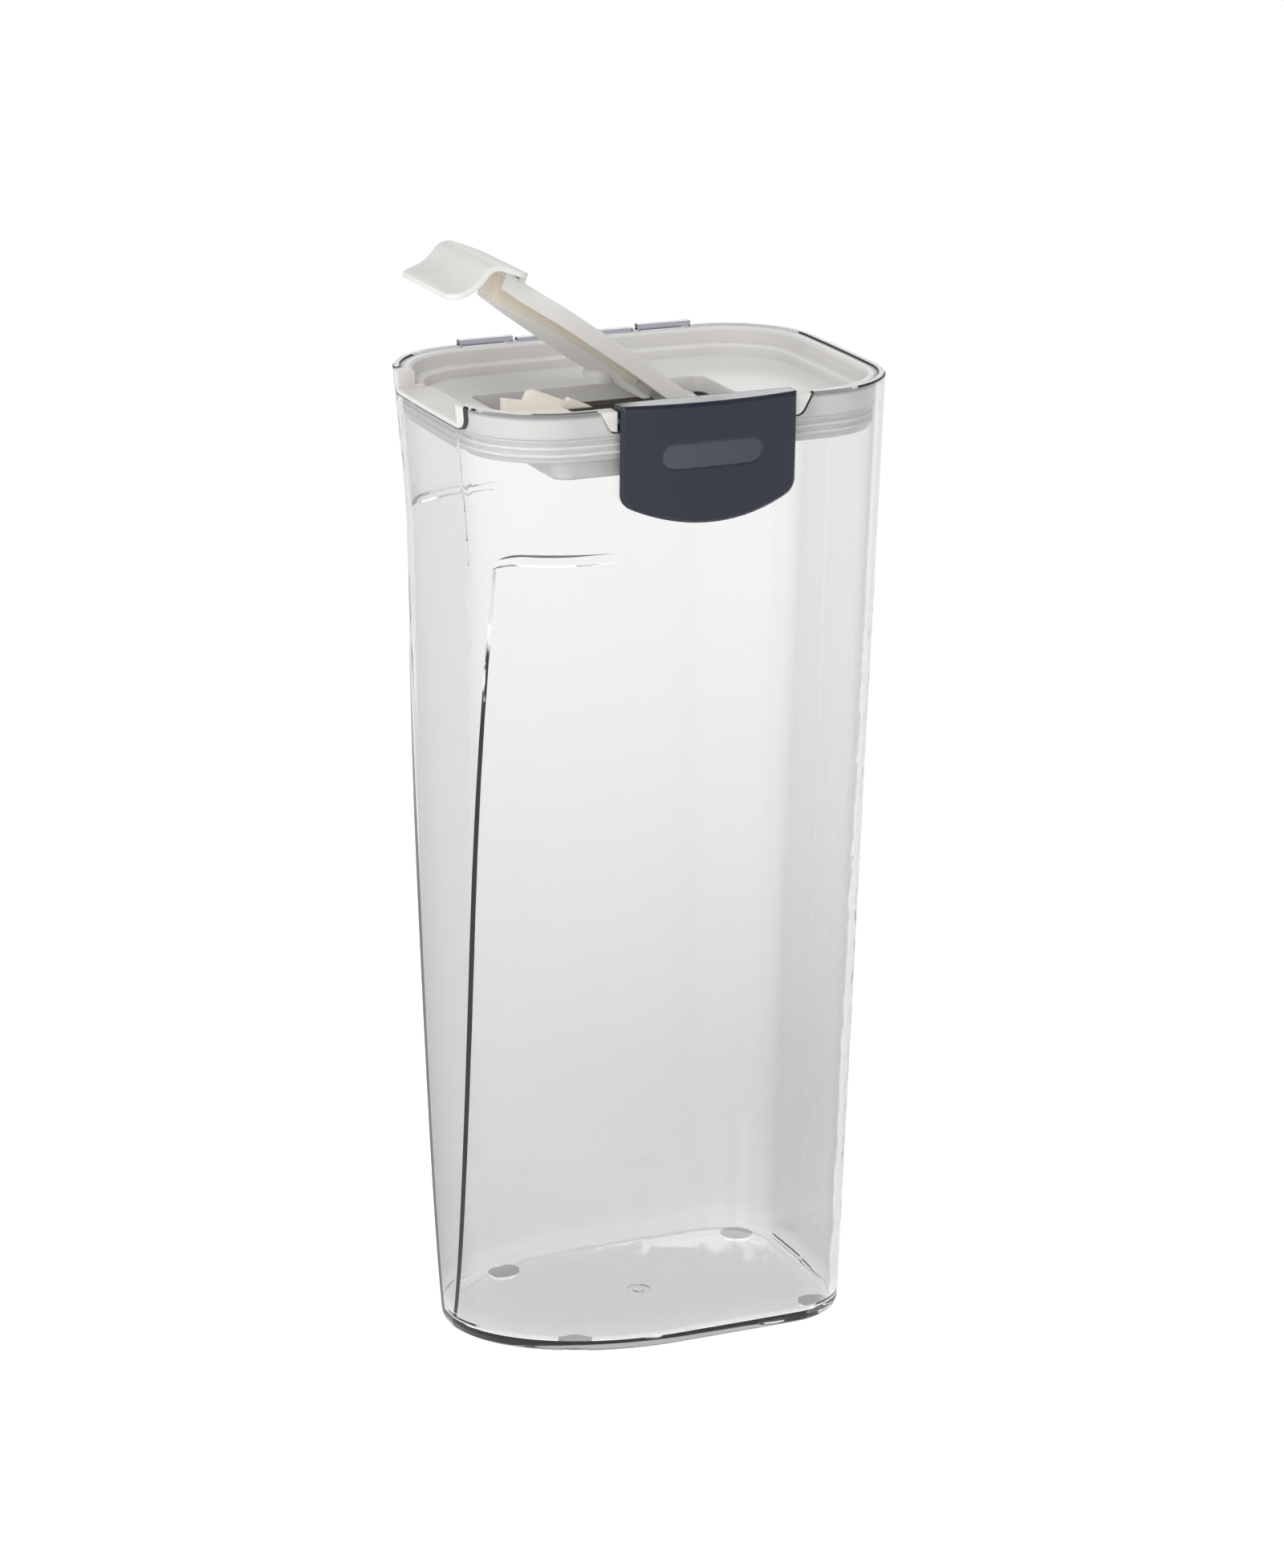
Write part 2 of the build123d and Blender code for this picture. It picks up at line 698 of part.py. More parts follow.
# Pin that the arm turns on, held in the tray's cheeks
with BuildPart() as arm_hinge_pin:
    with Locations(Location((arm_pin_x, 0, arm_pin_z), (90, 0, 0))):
        Cylinder(arm_pin_radius, 2 * (well_half_width + well_wall))
arm_hinge_pin.part.label = "arm_hinge_pin"


# Solid behind the latch's bowed front, set in by inset, from low to high
def latch_form(inset, low, high):
    half = latch_half_width - inset
    with BuildPart() as form:
        for z in (low, high):
            front = -latch_front + latch_lean * (latch_top - z) / latch_drop + inset
            with BuildSketch(Plane.XY.offset(z)):
                with BuildLine():
                    ThreePointArc((-half, front + latch_bow), (0, front), (half, front + latch_bow))
                    Polyline((half, front + latch_bow), (half, 0), (-half, 0), (-half, front + latch_bow))
                make_face()
        loft(ruled=True)
    return form.part


# Pill outline of the badge, cut through from the front
with BuildPart() as pill:
    with BuildSketch(Plane.XZ):
        with Locations((0, rim - badge_below_rim)):
            SlotOverall(badge_length, badge_height)
    extrude(amount=far)

# Slate latch: bowed front, head, cheeks with barrels, and a hook for the catch
with BuildPart() as latch_outline:
    with BuildSketch(Plane.XZ) as front_view:
        with BuildLine():
            corner_z = latch_bottom + latch_bottom_bow
            ThreePointArc((-latch_half_width, corner_z), (0, latch_bottom), (latch_half_width, corner_z))
            Polyline(
                (latch_half_width, corner_z),
                (latch_half_width, latch_top),
                (-latch_half_width, latch_top),
                (-latch_half_width, corner_z),
            )
        make_face()
        fillet(front_view.vertices().group_by(Axis.Y)[0], latch_corner)
    extrude(amount=far)
clear_y = mouth_half_width + latch_clear
skirt_y = half_width(latch_bottom) + latch_clear
with BuildPart() as latch_side:
    with BuildSketch(Plane.YZ.offset(-latch_half_width)) as cheek_view:
        with BuildLine():
            Polyline(
                (-far, latch_top),
                (-latch_back, latch_top),
                (-latch_back, latch_head_z),
                (latch_pin_y + latch_barrel_radius, latch_pin_z),
            )
            RadiusArc(
                (latch_pin_y + latch_barrel_radius, latch_pin_z),
                (latch_pin_y, latch_pin_z - latch_barrel_radius),
                latch_barrel_radius,
            )
            Polyline(
                (latch_pin_y, latch_pin_z - latch_barrel_radius),
                (-clear_y, latch_pin_z - latch_barrel_radius),
                (-skirt_y, latch_bottom),
                (-skirt_y, 0),
                (-far, 0),
                (-far, latch_top),
            )
        make_face()
    extrude(amount=2 * latch_half_width)
with BuildPart() as front_latch:
    add(latch_form(0, latch_bottom - overcut, latch_top))
    add(latch_outline.part, mode=Mode.INTERSECT)
    chamfer(front_latch.faces().sort_by(Axis.Y)[0].edges(), latch_chamfer)
    add(latch_form(latch_wall, latch_bottom - overcut, latch_head_z), mode=Mode.SUBTRACT)
    add(latch_side.part, mode=Mode.INTERSECT)
    for side in (-1, 1):
        middle = side * (latch_half_width - latch_cheek / 2)
        with Locations(Location((middle, latch_pin_y, latch_pin_z), (0, 90, 0))):
            Cylinder(latch_barrel_radius, latch_cheek)
        cheek = sorted((side * latch_half_width, side * (latch_half_width - latch_cheek)))
        height = (latch_pin_z - latch_barrel_radius, latch_pin_z + latch_barrel_radius)
        block(cheek, (-clear_y, latch_pin_y), height)
    hook_top = catch_z - hook_gap
    hook_y = -half_width(catch_z) - catch_proud + hook_lap
    hook_root = -latch_front + latch_lean * (latch_top - hook_top) / latch_drop + latch_wall / 2
    block((-catch_half_width, catch_half_width), (hook_root, hook_y), (hook_top - hook_height, hook_top))
    with Locations(Location((0, latch_pin_y, latch_pin_z), (0, 90, 0))):
        Cylinder(latch_pin_radius + running_fit, far, mode=Mode.SUBTRACT)
    add(pill.part - latch_form(badge_set_back + badge_thickness, latch_bottom, latch_top), mode=Mode.SUBTRACT)
front_latch.part.label = "front_latch"

# Bare badge let into the latch's front
with BuildPart() as latch_badge:
    add(latch_form(badge_set_back, latch_bottom, latch_top))
    badge_back = badge_set_back + badge_thickness
    add(latch_form(badge_back, latch_bottom - overcut, latch_top + overcut), mode=Mode.SUBTRACT)
    add(pill.part, mode=Mode.INTERSECT)
latch_badge.part.label = "latch_badge"

# Pin that the latch turns on, held in the tray's lugs
with BuildPart() as latch_hinge_pin:
    with Locations(Location((0, latch_pin_y, latch_pin_z), (0, 90, 0))):
        Cylinder(latch_pin_radius, 2 * latch_pin_half_length)
latch_hinge_pin.part.label = "latch_hinge_pin"

pieces = [
    container_body.part,
    *feet.values(),
    lid_tray.part,
    lid_seal.part,
    lid_base.part,
    serving_gauge.part,
    spout_arm.part,
    arm_seal.part,
    arm_hinge_pin.part,
    front_latch.part,
    latch_badge.part,
    latch_hinge_pin.part,
]
print("lid hinge at y", round(lid_hinge_y, 3), "z", round(lid_hinge_z, 3))
for piece in pieces:
    export_step(piece, "parts/" + piece.label + ".step")
    print(piece.label, len(piece.solids()), piece.is_valid, round(piece.volume))
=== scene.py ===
import json
import math
import bmesh
import bpy
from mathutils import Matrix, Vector

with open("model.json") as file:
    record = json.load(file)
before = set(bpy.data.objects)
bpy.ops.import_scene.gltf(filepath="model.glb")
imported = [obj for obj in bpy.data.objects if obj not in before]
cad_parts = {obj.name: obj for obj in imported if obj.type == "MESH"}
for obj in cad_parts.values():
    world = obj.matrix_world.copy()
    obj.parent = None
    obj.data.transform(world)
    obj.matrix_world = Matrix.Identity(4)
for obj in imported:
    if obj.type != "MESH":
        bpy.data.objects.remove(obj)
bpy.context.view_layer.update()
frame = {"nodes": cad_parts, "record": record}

# Clear pasta keeper with a flip-up spout, on a pale floor in soft studio light

# Where a Mix node keeps its colour sockets
mixFirst = 6
mixSecond = 7
mixResult = 2


def setOrLink(tree, socket, value):
    if hasattr(value, "links"):
        tree.links.new(value, socket)
    else:
        socket.default_value = value


def addNode(tree, kind, **settings):
    node = tree.nodes.new(kind)
    for name, value in settings.items():
        setattr(node, name, value)
    return node


def mathNode(tree, operation, first, second):
    node = addNode(tree, "ShaderNodeMath", operation=operation)
    setOrLink(tree, node.inputs[0], first)
    setOrLink(tree, node.inputs[1], second)
    return node.outputs["Value"]


def rampNode(tree, source, low, high, toLow=0.0, toHigh=1.0):
    node = addNode(tree, "ShaderNodeMapRange", interpolation_type="SMOOTHSTEP")
    tree.links.new(source, node.inputs["Value"])
    node.inputs["From Min"].default_value = low
    node.inputs["From Max"].default_value = high
    node.inputs["To Min"].default_value = toLow
    node.inputs["To Max"].default_value = toHigh
    return node.outputs["Result"]


def mixColour(tree, share, first, second):
    node = addNode(tree, "ShaderNodeMix", data_type="RGBA")
    tree.links.new(share, node.inputs["Factor"])
    setOrLink(tree, node.inputs[mixFirst], first)
    setOrLink(tree, node.inputs[mixSecond], second)
    return node.outputs[mixResult]


def startGroup(name, inputs, outputs):
    group = bpy.data.node_groups.new(name, "ShaderNodeTree")
    for label, kind, value in inputs:
        socket = group.interface.new_socket(name=label, in_out="INPUT", socket_type=kind)
        socket.default_value = value
    for label, kind in outputs:
        group.interface.new_socket(name=label, in_out="OUTPUT", socket_type=kind)
    return group, addNode(group, "NodeGroupInput"), addNode(group, "NodeGroupOutput")


def objectPattern(tree, scale, kind="ShaderNodeTexNoise", stretch=(1.0, 1.0, 1.0), detail=None):
    coordinate = addNode(tree, "ShaderNodeTexCoord")
    mapping = addNode(tree, "ShaderNodeMapping")
    mapping.inputs["Scale"].default_value = stretch
    tree.links.new(coordinate.outputs["Object"], mapping.inputs["Vector"])
    texture = addNode(tree, kind)
    tree.links.new(mapping.outputs["Vector"], texture.inputs["Vector"])
    setOrLink(tree, texture.inputs["Scale"], scale)
    if detail is not None:
        texture.inputs["Detail"].default_value = detail
    return texture


# Moulded surface: slow colour patches, fine grain in the height, roughness that wanders
skinPattern = {
    "patchDetail": 4.0,
    "patchFrom": 0.35,
    "patchTo": 0.68,
    "grainDetail": 2.0,
}
mouldedSkin, skinIn, skinOut = startGroup(
    "moulded skin",
    [
        ("Colour", "NodeSocketColor", (0.8, 0.8, 0.8, 1)),
        ("Shade", "NodeSocketColor", (0.7, 0.7, 0.7, 1)),
        ("Patch Scale", "NodeSocketFloat", 14.0),
        ("Grain Scale", "NodeSocketFloat", 1800.0),
        ("Roughness", "NodeSocketFloat", 0.35),
        ("Roughness Spread", "NodeSocketFloat", 0.08),
    ],
    [
        ("Colour", "NodeSocketColor"),
        ("Roughness", "NodeSocketFloat"),
        ("Height", "NodeSocketFloat"),
    ],
)
patches = objectPattern(
    mouldedSkin, skinIn.outputs["Patch Scale"], detail=skinPattern["patchDetail"]
)
grain = objectPattern(
    mouldedSkin, skinIn.outputs["Grain Scale"], detail=skinPattern["grainDetail"]
)
patchMask = rampNode(
    mouldedSkin, patches.outputs["Fac"], skinPattern["patchFrom"], skinPattern["patchTo"]
)
mouldedSkin.links.new(
    mixColour(mouldedSkin, patchMask, skinIn.outputs["Colour"], skinIn.outputs["Shade"]),
    skinOut.inputs["Colour"],
)
spread = mathNode(mouldedSkin, "MULTIPLY", patchMask, skinIn.outputs["Roughness Spread"])
mouldedSkin.links.new(
    mathNode(mouldedSkin, "ADD", skinIn.outputs["Roughness"], spread),
    skinOut.inputs["Roughness"],
)
mouldedSkin.links.new(grain.outputs["Fac"], skinOut.inputs["Height"])

# Edge wear: where a rounded normal leaves the true one, broken up by fine noise
wearPattern = {
    "bevelSamples": 6,
    "edgeFrom": 0.995,
    "edgeTo": 0.82,
    "breakDetail": 4.0,
    "breakFrom": 0.42,
    "breakTo": 0.6,
    "leastWear": 0.25,
}
edgeWear, wearIn, wearOut = startGroup(
    "edge wear",
    [
        ("Width", "NodeSocketFloat", 0.0006),
        ("Break Up", "NodeSocketFloat", 420.0),
    ],
    [("Mask", "NodeSocketFloat"), ("Normal", "NodeSocketVector")],
)
rounded = addNode(edgeWear, "ShaderNodeBevel", samples=wearPattern["bevelSamples"])
edgeWear.links.new(wearIn.outputs["Width"], rounded.inputs["Radius"])
trueNormal = addNode(edgeWear, "ShaderNodeNewGeometry")
facing = addNode(edgeWear, "ShaderNodeVectorMath", operation="DOT_PRODUCT")
edgeWear.links.new(rounded.outputs["Normal"], facing.inputs[0])
edgeWear.links.new(trueNormal.outputs["Normal"], facing.inputs[1])
edgeMask = rampNode(
    edgeWear, facing.outputs["Value"], wearPattern["edgeFrom"], wearPattern["edgeTo"]
)
breakUp = objectPattern(
    edgeWear, wearIn.outputs["Break Up"], detail=wearPattern["breakDetail"]
)
breakMask = rampNode(
    edgeWear,
    breakUp.outputs["Fac"],
    wearPattern["breakFrom"],
    wearPattern["breakTo"],
    toLow=wearPattern["leastWear"],
)
edgeWear.links.new(
    mathNode(edgeWear, "MULTIPLY", edgeMask, breakMask), wearOut.inputs["Mask"]
)
edgeWear.links.new(rounded.outputs["Normal"], wearOut.inputs["Normal"])

# Handling film: faint smears and specks that dull a gloss
filmPattern = {
    "smearStretch": (1.0, 1.0, 0.45),
    "smearDetail": 5.0,
    "smearFrom": 0.5,
    "smearTo": 0.72,
    "speckFrom": 0.12,
    "speckTo": 0.05,
    "speckShare": 0.3,
}
handlingFilm, filmIn, filmOut = startGroup(
    "handling film",
    [("Smear Scale", "NodeSocketFloat", 22.0), ("Speck Scale", "NodeSocketFloat", 900.0)],
    [("Mask", "NodeSocketFloat")],
)
smears = objectPattern(
    handlingFilm,
    filmIn.outputs["Smear Scale"],
    stretch=filmPattern["smearStretch"],
    detail=filmPattern["smearDetail"],
)
specks = objectPattern(
    handlingFilm, filmIn.outputs["Speck Scale"], kind="ShaderNodeTexVoronoi"
)
smearMask = rampNode(
    handlingFilm, smears.outputs["Fac"], filmPattern["smearFrom"], filmPattern["smearTo"]
)
speckMask = rampNode(
    handlingFilm, specks.outputs["Distance"], filmPattern["speckFrom"], filmPattern["speckTo"]
)
faintSpecks = mathNode(handlingFilm, "MULTIPLY", speckMask, filmPattern["speckShare"])
handlingFilm.links.new(
    mathNode(handlingFilm, "MAXIMUM", smearMask, faintSpecks), filmOut.inputs["Mask"]
)
print("shader groups built")


def startMaterial(name):
    material = bpy.data.materials.new(name)
    material.use_nodes = True
    tree = material.node_tree
    tree.nodes.clear()
    output = addNode(tree, "ShaderNodeOutputMaterial")
    shader = addNode(tree, "ShaderNodeBsdfPrincipled")
    tree.links.new(shader.outputs["BSDF"], output.inputs["Surface"])
    return material, tree, shader


def useGroup(tree, group, **values):
    node = addNode(tree, "ShaderNodeGroup", node_tree=group)
    for name, value in values.items():
        node.inputs[name.replace("_", " ")].default_value = value
    return node


# Skin and film together: the film adds to the skin's roughness
def addSkin(tree, shader, look):
    skin = useGroup(
        tree,
        mouldedSkin,
        Colour=look["colour"],
        Shade=look["shade"],
        Patch_Scale=look["patchScale"],
        Roughness=look["roughness"],
        Roughness_Spread=look["roughnessSpread"],
    )
    film = useGroup(
        tree, handlingFilm, Smear_Scale=look["smearScale"], Speck_Scale=look["speckScale"]
    )
    dulled = mathNode(tree, "MULTIPLY", film.outputs["Mask"], look["filmRoughness"])
    tree.links.new(
        mathNode(tree, "ADD", skin.outputs["Roughness"], dulled), shader.inputs["Roughness"]
    )
    return skin


def addBump(tree, shader, height, look):
    bump = addNode(tree, "ShaderNodeBump")
    bump.inputs["Strength"].default_value = look["bumpStrength"]
    bump.inputs["Distance"].default_value = look["bumpDistance"]
    tree.links.new(height, bump.inputs["Height"])
    tree.links.new(bump.outputs["Normal"], shader.inputs["Normal"])
    return bump


# Light goes a little less far into the plastic in blue than in red
subsurfaceRadius = (1.0, 0.95, 0.85)


def plasticMaterial(name, look):
    material, tree, shader = startMaterial(name)
    skin = addSkin(tree, shader, look)
    skin.inputs["Grain Scale"].default_value = look["grainScale"]
    wear = useGroup(tree, edgeWear, Width=look["edgeWidth"], Break_Up=look["edgeBreak"])
    wearShare = mathNode(tree, "MULTIPLY", wear.outputs["Mask"], look["wearShare"])
    tree.links.new(
        mixColour(tree, wearShare, skin.outputs["Colour"], look["wearColour"]),
        shader.inputs["Base Color"],
    )
    bump = addBump(tree, shader, skin.outputs["Height"], look)
    tree.links.new(wear.outputs["Normal"], bump.inputs["Normal"])
    shader.inputs["IOR"].default_value = look["ior"]
    shader.inputs["Subsurface Weight"].default_value = look["subsurface"]
    shader.inputs["Subsurface Radius"].default_value = subsurfaceRadius
    shader.inputs["Subsurface Scale"].default_value = look["subsurfaceScale"]
    return material


# White lid, base and arm: warm satin polypropylene
whitePlastic = {
    "colour": (0.68, 0.668, 0.648, 1),
    "shade": (0.63, 0.617, 0.595, 1),
    "patchScale": 16.0,
    "grainScale": 2600.0,
    "roughness": 0.32,
    "roughnessSpread": 0.1,
    "edgeWidth": 0.0007,
    "edgeBreak": 380.0,
    "smearScale": 24.0,
    "speckScale": 800.0,
    "wearShare": 0.3,
    "wearColour": (0.9, 0.885, 0.86, 1),
    "filmRoughness": 0.12,
    "bumpStrength": 0.12,
    "bumpDistance": 0.00012,
    "ior": 1.49,
    "subsurface": 0.3,
    "subsurfaceScale": 0.003,
}
# Serving gauge: the same plastic, a little creamier
creamPlastic = dict(
    whitePlastic,
    colour=(0.86, 0.815, 0.745, 1),
    shade=(0.81, 0.76, 0.68, 1),
)
# Ribbed lid seal: milky grey silicone
greySilicone = {
    "colour": (0.70, 0.70, 0.685, 1),
    "shade": (0.64, 0.64, 0.63, 1),
    "patchScale": 30.0,
    "grainScale": 1500.0,
    "roughness": 0.42,
    "roughnessSpread": 0.12,
    "edgeWidth": 0.0004,
    "edgeBreak": 500.0,
    "smearScale": 30.0,
    "speckScale": 700.0,
    "wearShare": 0.2,
    "wearColour": (0.8, 0.8, 0.79, 1),
    "filmRoughness": 0.15,
    "bumpStrength": 0.1,
    "bumpDistance": 0.0001,
    "ior": 1.42,
    "subsurface": 0.45,
    "subsurfaceScale": 0.003,
}
# Band round the arm's hull: tan silicone
creamSilicone = dict(
    greySilicone,
    colour=(0.80, 0.72, 0.60, 1),
    shade=(0.73, 0.64, 0.52, 1),
    subsurface=0.3,
)
# Latch: gloss slate plastic
slatePlastic = {
    "colour": (0.004, 0.008, 0.019, 1),
    "shade": (0.007, 0.011, 0.024, 1),
    "patchScale": 22.0,
    "grainScale": 2200.0,
    "roughness": 0.16,
    "roughnessSpread": 0.05,
    "edgeWidth": 0.0008,
    "edgeBreak": 300.0,
    "smearScale": 34.0,
    "speckScale": 650.0,
    "wearShare": 0.35,
    "wearColour": (0.09, 0.1, 0.13, 1),
    "filmRoughness": 0.05,
    "bumpStrength": 0.06,
    "bumpDistance": 0.0001,
    "ior": 1.43,
    "subsurface": 0.0,
    "subsurfaceScale": 0.001,
}
# Bare badge: the same slate, lighter and satin
badgePlastic = dict(
    slatePlastic,
    colour=(0.036, 0.041, 0.055, 1),
    shade=(0.046, 0.051, 0.066, 1),
    roughness=0.34,
    grainScale=3200.0,
    bumpStrength=0.2,
)


def clearMaterial(name, look):
    material, tree, shader = startMaterial(name)
    skin = addSkin(tree, shader, look)
    coordinate = addNode(tree, "ShaderNodeTexCoord")
    place = addNode(tree, "ShaderNodeSeparateXYZ")
    tree.links.new(coordinate.outputs["Object"], place.inputs["Vector"])
    height = place.outputs["Z"]
    wall = rampNode(tree, height, look["wallFrom"], look["wallTo"])
    low = mixColour(tree, wall, look["baseColour"], look["lowColour"])
    rise = rampNode(tree, height, look["darkBelow"], look["paleAbove"])
    body = mixColour(tree, rise, low, skin.outputs["Colour"])
    # Seen along the wall, the plastic turns dark slate: a little of it is the grey of the
    # longer path through it, most is painted dark reflection of the surroundings
    along = addNode(tree, "ShaderNodeLayerWeight")
    along.inputs["Blend"].default_value = look["edgeBlend"]
    slant = rampNode(tree, along.outputs["Facing"], look["edgeFrom"], look["edgeTo"])
    slantOnWall = mathNode(tree, "MULTIPLY", slant, wall)
    grazingShaded = mixColour(tree, slantOnWall, body, look["grazingShadeColour"])
    # The moulded lip is painted dark slate: painted shade for the dark lines a clear rim shows
    rimShadeMask = rampNode(tree, height, look["rimFrom"], look["rimTo"])
    tree.links.new(mixColour(tree, rimShadeMask, grazingShaded, look["rimShadeColour"]), shader.inputs["Base Color"])
    flow = objectPattern(
        tree, look["flowScale"], stretch=look["flowStretch"], detail=look["flowDetail"]
    )
    addBump(tree, shader, flow.outputs["Fac"], look)
    shader.inputs["IOR"].default_value = look["ior"]
    shader.inputs["Metallic"].default_value = 0.0
    shader.inputs["Transmission Weight"].default_value = 1.0
    # Light on its way to what stands behind passes straight through,
    # and so does a ray that has turned too often inside the wall
    passing = addNode(tree, "ShaderNodeBsdfTransparent")
    passing.inputs["Color"].default_value = look["lightThrough"]
    ray = addNode(tree, "ShaderNodeLightPath")
    worn = mathNode(tree, "GREATER_THAN", ray.outputs["Transmission Depth"], look["turnsKept"])
    straight = mathNode(tree, "MAXIMUM", ray.outputs["Is Shadow Ray"], worn)
    output = shader.outputs["BSDF"].links[0].to_node
    either = addNode(tree, "ShaderNodeMixShader")
    tree.links.new(straight, either.inputs["Fac"])
    tree.links.new(shader.outputs["BSDF"], either.inputs[1])
    tree.links.new(passing.outputs["BSDF"], either.inputs[2])
    tree.links.new(either.outputs["Shader"], output.inputs["Surface"])
    return material


# Shell: clear copolyester, faintly grey towards the foot, with slow moulding flow
clearPlastic = {
    "colour": (0.895, 0.892, 0.897, 1),
    "shade": (0.88, 0.877, 0.882, 1),
    "lowColour": (0.72, 0.716, 0.713, 1),
    "darkBelow": 0.02,
    "paleAbove": 0.28,
    # painted dark reflection along the walls, seen at a slant
    "grazingShadeColour": (0.26, 0.265, 0.30, 1),
    "edgeBlend": 0.5,
    "edgeFrom": 0.2,
    "edgeTo": 1.0,
    "wallFrom": 0.004,
    "wallTo": 0.014,
    "baseColour": (0.8, 0.797, 0.795, 1),
    # painted dark shade on the moulded lip, from rimFrom up to rimTo
    "rimFrom": 0.2878,
    "rimTo": 0.2894,
    "rimShadeColour": (0.33, 0.335, 0.37, 1),
    "patchScale": 9.0,
    "roughness": 0.0,
    "roughnessSpread": 0.012,
    "smearScale": 12.0,
    "speckScale": 500.0,
    "filmRoughness": 0.02,
    "flowScale": 26.0,
    "flowStretch": (1.0, 1.0, 0.12),
    "flowDetail": 1.0,
    "bumpStrength": 0.05,
    "bumpDistance": 0.0001,
    "ior": 1.5,
    "turnsKept": 7,
    "lightThrough": (0.95, 0.95, 0.95, 1),
}
# Feet: paler, and with little refraction, as more of it makes them darker under the base
clearPad = dict(
    clearPlastic,
    ior=1.04,
    lowColour=(0.97, 0.97, 0.975, 1),
    baseColour=(0.97, 0.97, 0.975, 1),
    # painted dark outline round the feet, seen at a slant
    grazingShadeColour=(0.62, 0.63, 0.66, 1),
    edgeFrom=0.75,
    wallFrom=-0.01,
    wallTo=-0.005,
    patchScale=60.0,
)


def steelMaterial(name, look):
    material, tree, shader = startMaterial(name)
    drawn = objectPattern(
        tree, look["drawScale"], stretch=look["drawStretch"], detail=look["drawDetail"]
    )
    tree.links.new(
        mixColour(tree, drawn.outputs["Fac"], look["colour"], look["shade"]),
        shader.inputs["Base Color"],
    )
    drawnRoughness = rampNode(
        tree,
        drawn.outputs["Fac"],
        look["drawFrom"],
        look["drawTo"],
        toLow=look["roughness"],
        toHigh=look["roughness"] + look["roughnessSpread"],
    )
    tree.links.new(drawnRoughness, shader.inputs["Roughness"])
    addBump(tree, shader, drawn.outputs["Fac"], look)
    shader.inputs["Metallic"].default_value = 1.0
    return material


# Pins: drawn steel rod
steelPin = {
    "colour": (0.62, 0.62, 0.61, 1),
    "shade": (0.5, 0.5, 0.5, 1),
    "drawScale": 900.0,
    "drawStretch": (0.05, 1.0, 1.0),
    "drawDetail": 4.0,
    "drawFrom": 0.3,
    "drawTo": 0.7,
    "roughness": 0.25,
    "roughnessSpread": 0.15,
    "bumpStrength": 0.15,
    "bumpDistance": 0.00005,
}

finishes = {
    "white_plastic": plasticMaterial("white plastic", whitePlastic),
    "cream_plastic": plasticMaterial("cream plastic", creamPlastic),
    "grey_silicone": plasticMaterial("grey silicone", greySilicone),
    "cream_silicone": plasticMaterial("cream silicone", creamSilicone),
    "slate_plastic": plasticMaterial("slate plastic", slatePlastic),
    "badge_plastic": plasticMaterial("badge plastic", badgePlastic),
    "clear_plastic": clearMaterial("clear plastic", clearPlastic),
    "clear_pad": clearMaterial("clear pad", clearPad),
    "steel_pin": steelMaterial("steel pin", steelPin),
}
slotOf = {row["node"]: row["material_slot"] for row in frame["record"]["subparts"]}
for nodeName, node in frame["nodes"].items():
    for materialSlot in node.material_slots:
        materialSlot.material = finishes[slotOf[nodeName]]
print("materials assigned")


# Studio: a flat pale floor that glows a little, under a white world
studio = {
    "floorWidth": 9.0,
    "floorNear": -4.0,
    "floorFar": 7.0,
    "floorColour": (0.92, 0.92, 0.92, 1),
    "floorShade": (0.9, 0.9, 0.9, 1),
    "floorNoiseScale": 2.0,
    "floorNoiseDetail": 3.0,
    "floorRoughness": 0.8,
    "floorGlow": 0.43,
    "worldColour": (1.0, 1.0, 1.0, 1),
    "worldStrength": 0.56,
}
floorLength = studio["floorFar"] - studio["floorNear"]
floorMiddle = (studio["floorFar"] + studio["floorNear"]) / 2
floorMesh = bpy.data.meshes.new("studio_floor")
work = bmesh.new()
bmesh.ops.create_grid(work, x_segments=2, y_segments=2, size=0.5)
bmesh.ops.scale(work, vec=(studio["floorWidth"], floorLength, 1), verts=work.verts)
bmesh.ops.translate(work, vec=(0, floorMiddle, 0), verts=work.verts)
work.to_mesh(floorMesh)
work.free()
floorPiece = bpy.data.objects.new("studio_floor", floorMesh)
bpy.context.scene.collection.objects.link(floorPiece)
floorMaterial, floorTree, floorShader = startMaterial("studio floor")
floorNoise = objectPattern(
    floorTree, studio["floorNoiseScale"], detail=studio["floorNoiseDetail"]
)
floorTree.links.new(
    mixColour(
        floorTree, floorNoise.outputs["Fac"], studio["floorColour"], studio["floorShade"]
    ),
    floorShader.inputs["Base Color"],
)
floorShader.inputs["Roughness"].default_value = studio["floorRoughness"]
floorShader.inputs["Emission Color"].default_value = studio["floorColour"]
floorShader.inputs["Emission Strength"].default_value = studio["floorGlow"]
floorMesh.materials.append(floorMaterial)

world = bpy.data.worlds.new("studio")
bpy.context.scene.world = world
world.use_nodes = True
background = world.node_tree.nodes["Background"]
background.inputs["Color"].default_value = studio["worldColour"]
background.inputs["Strength"].default_value = studio["worldStrength"]

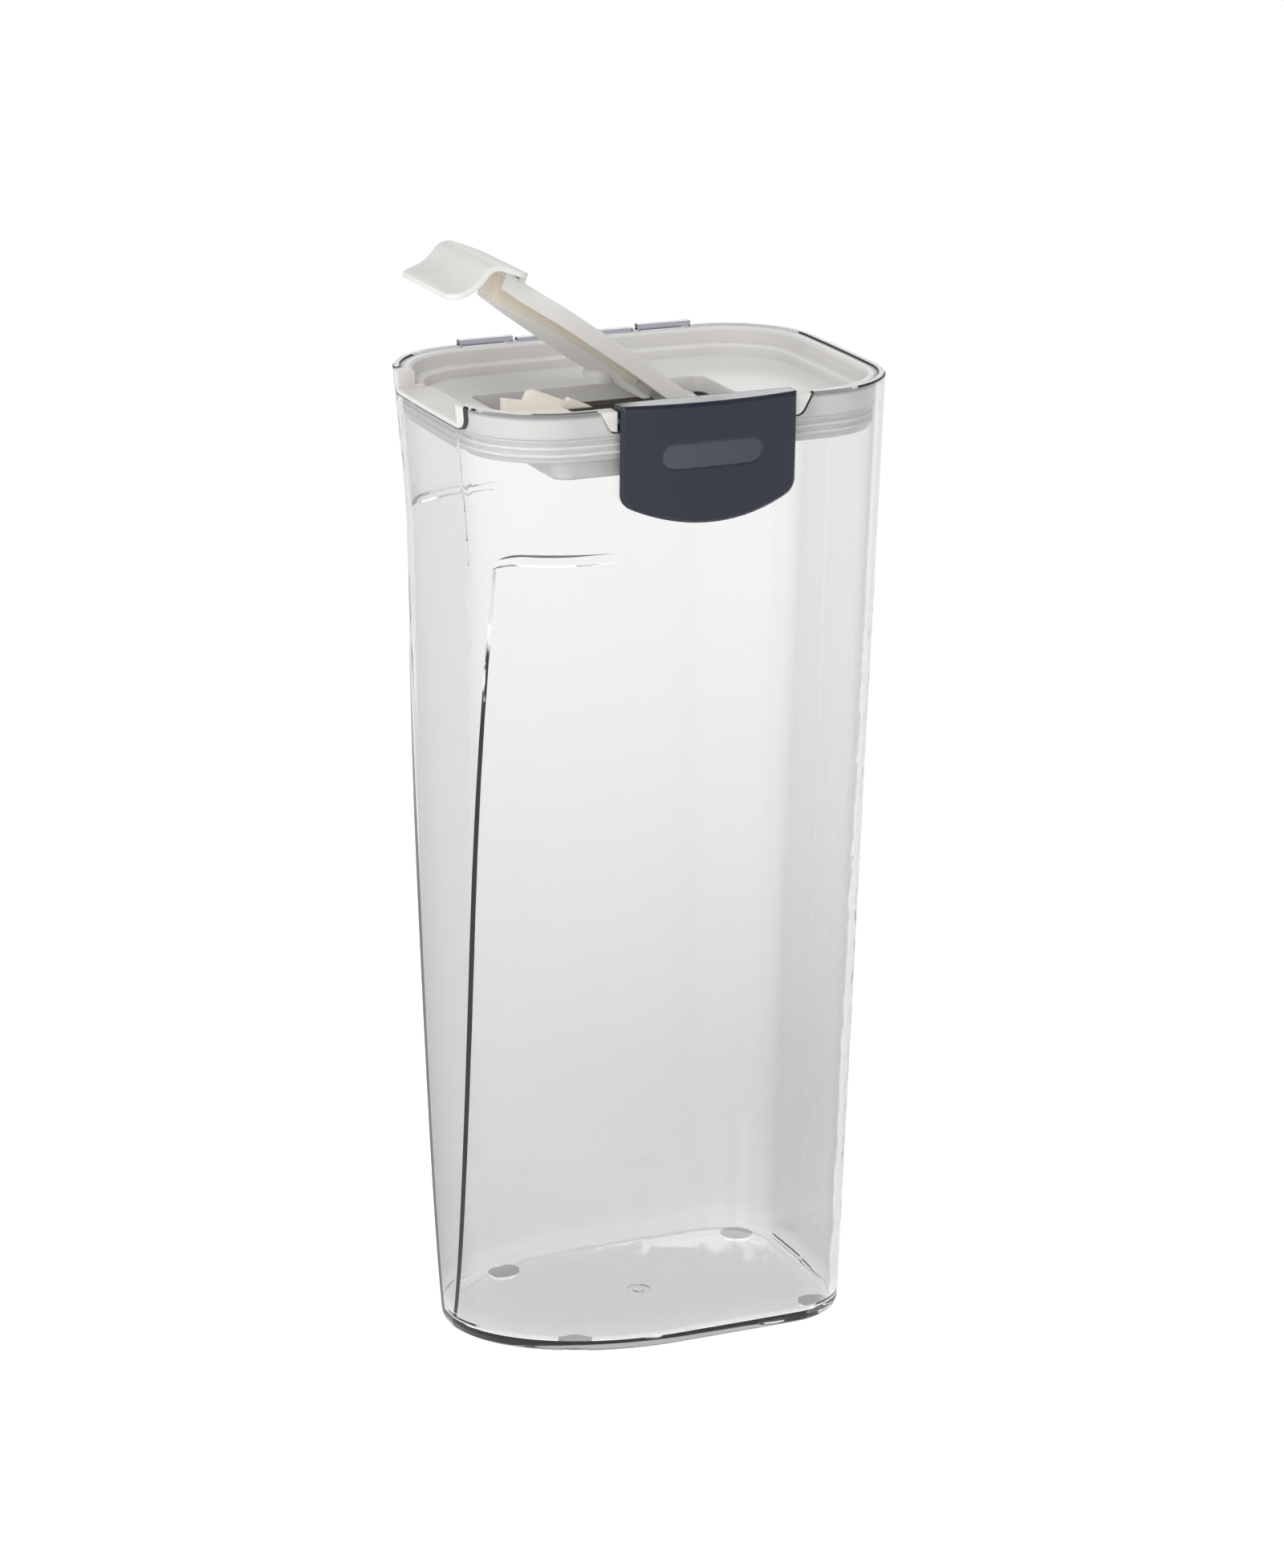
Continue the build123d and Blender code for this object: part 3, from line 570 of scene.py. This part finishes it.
# Soft boxes, all aimed at the middle of the keeper
softBoxes = {
    "overhead": {"place": (0.0, 1.2, 3.4), "size": (5.0, 5.0), "power": 12.0},
    "key": {"place": (-1.1, -1.0, 2.0), "size": (1.0, 1.0), "power": 18.0},
    "left": {"place": (-2.0, -0.8, 0.55), "size": (0.8, 1.0), "power": 8.0},
    "right": {"place": (2.0, -0.3, 1.0), "size": (0.5, 1.8), "power": 5.0},
    "back": {"place": (1.29, 2.8, 1.0), "size": (0.9, 0.5), "power": 2.5},
    "front": {"place": (-0.8, -2.5, 0.8), "size": (1.8, 0.9), "power": 11.0},
}
aim = Vector((0, 0, 0.16))
for boxName, box in softBoxes.items():
    light = bpy.data.lights.new(boxName + "_box", "AREA")
    light.shape = "RECTANGLE"
    light.size, light.size_y = box["size"]
    light.energy = box["power"]
    lamp = bpy.data.objects.new(boxName + "_box", light)
    bpy.context.scene.collection.objects.link(lamp)
    lamp.location = box["place"]
    lamp.rotation_euler = (aim - lamp.location).to_track_quat("-Z", "Y").to_euler()
print("studio lit")

# Camera: left of the front and a little above, as in the photograph
cameraPlace = {
    "azimuth": 23.03,
    "elevation": 17.19,
    "distance": 1.4706,
    "target": (0.0012, 0.0, 0.1639),
    "lens": 114.07,
    "sensor": 36.0,
    "clipEnd": 50.0,
}
turn = math.radians(cameraPlace["azimuth"])
lift = math.radians(cameraPlace["elevation"])
target = Vector(cameraPlace["target"])
towards = Vector(
    (-math.sin(turn) * math.cos(lift), -math.cos(turn) * math.cos(lift), math.sin(lift))
)
cameraData = bpy.data.cameras.new("camera")
cameraData.lens = cameraPlace["lens"]
cameraData.sensor_width = cameraPlace["sensor"]
cameraData.clip_end = cameraPlace["clipEnd"]
camera = bpy.data.objects.new("camera", cameraData)
bpy.context.scene.collection.objects.link(camera)
camera.location = target + towards * cameraPlace["distance"]
camera.rotation_euler = (-towards).to_track_quat("-Z", "Y").to_euler()
bpy.context.scene.camera = camera
bpy.context.scene.view_settings.view_transform = "Standard"
print("camera placed")
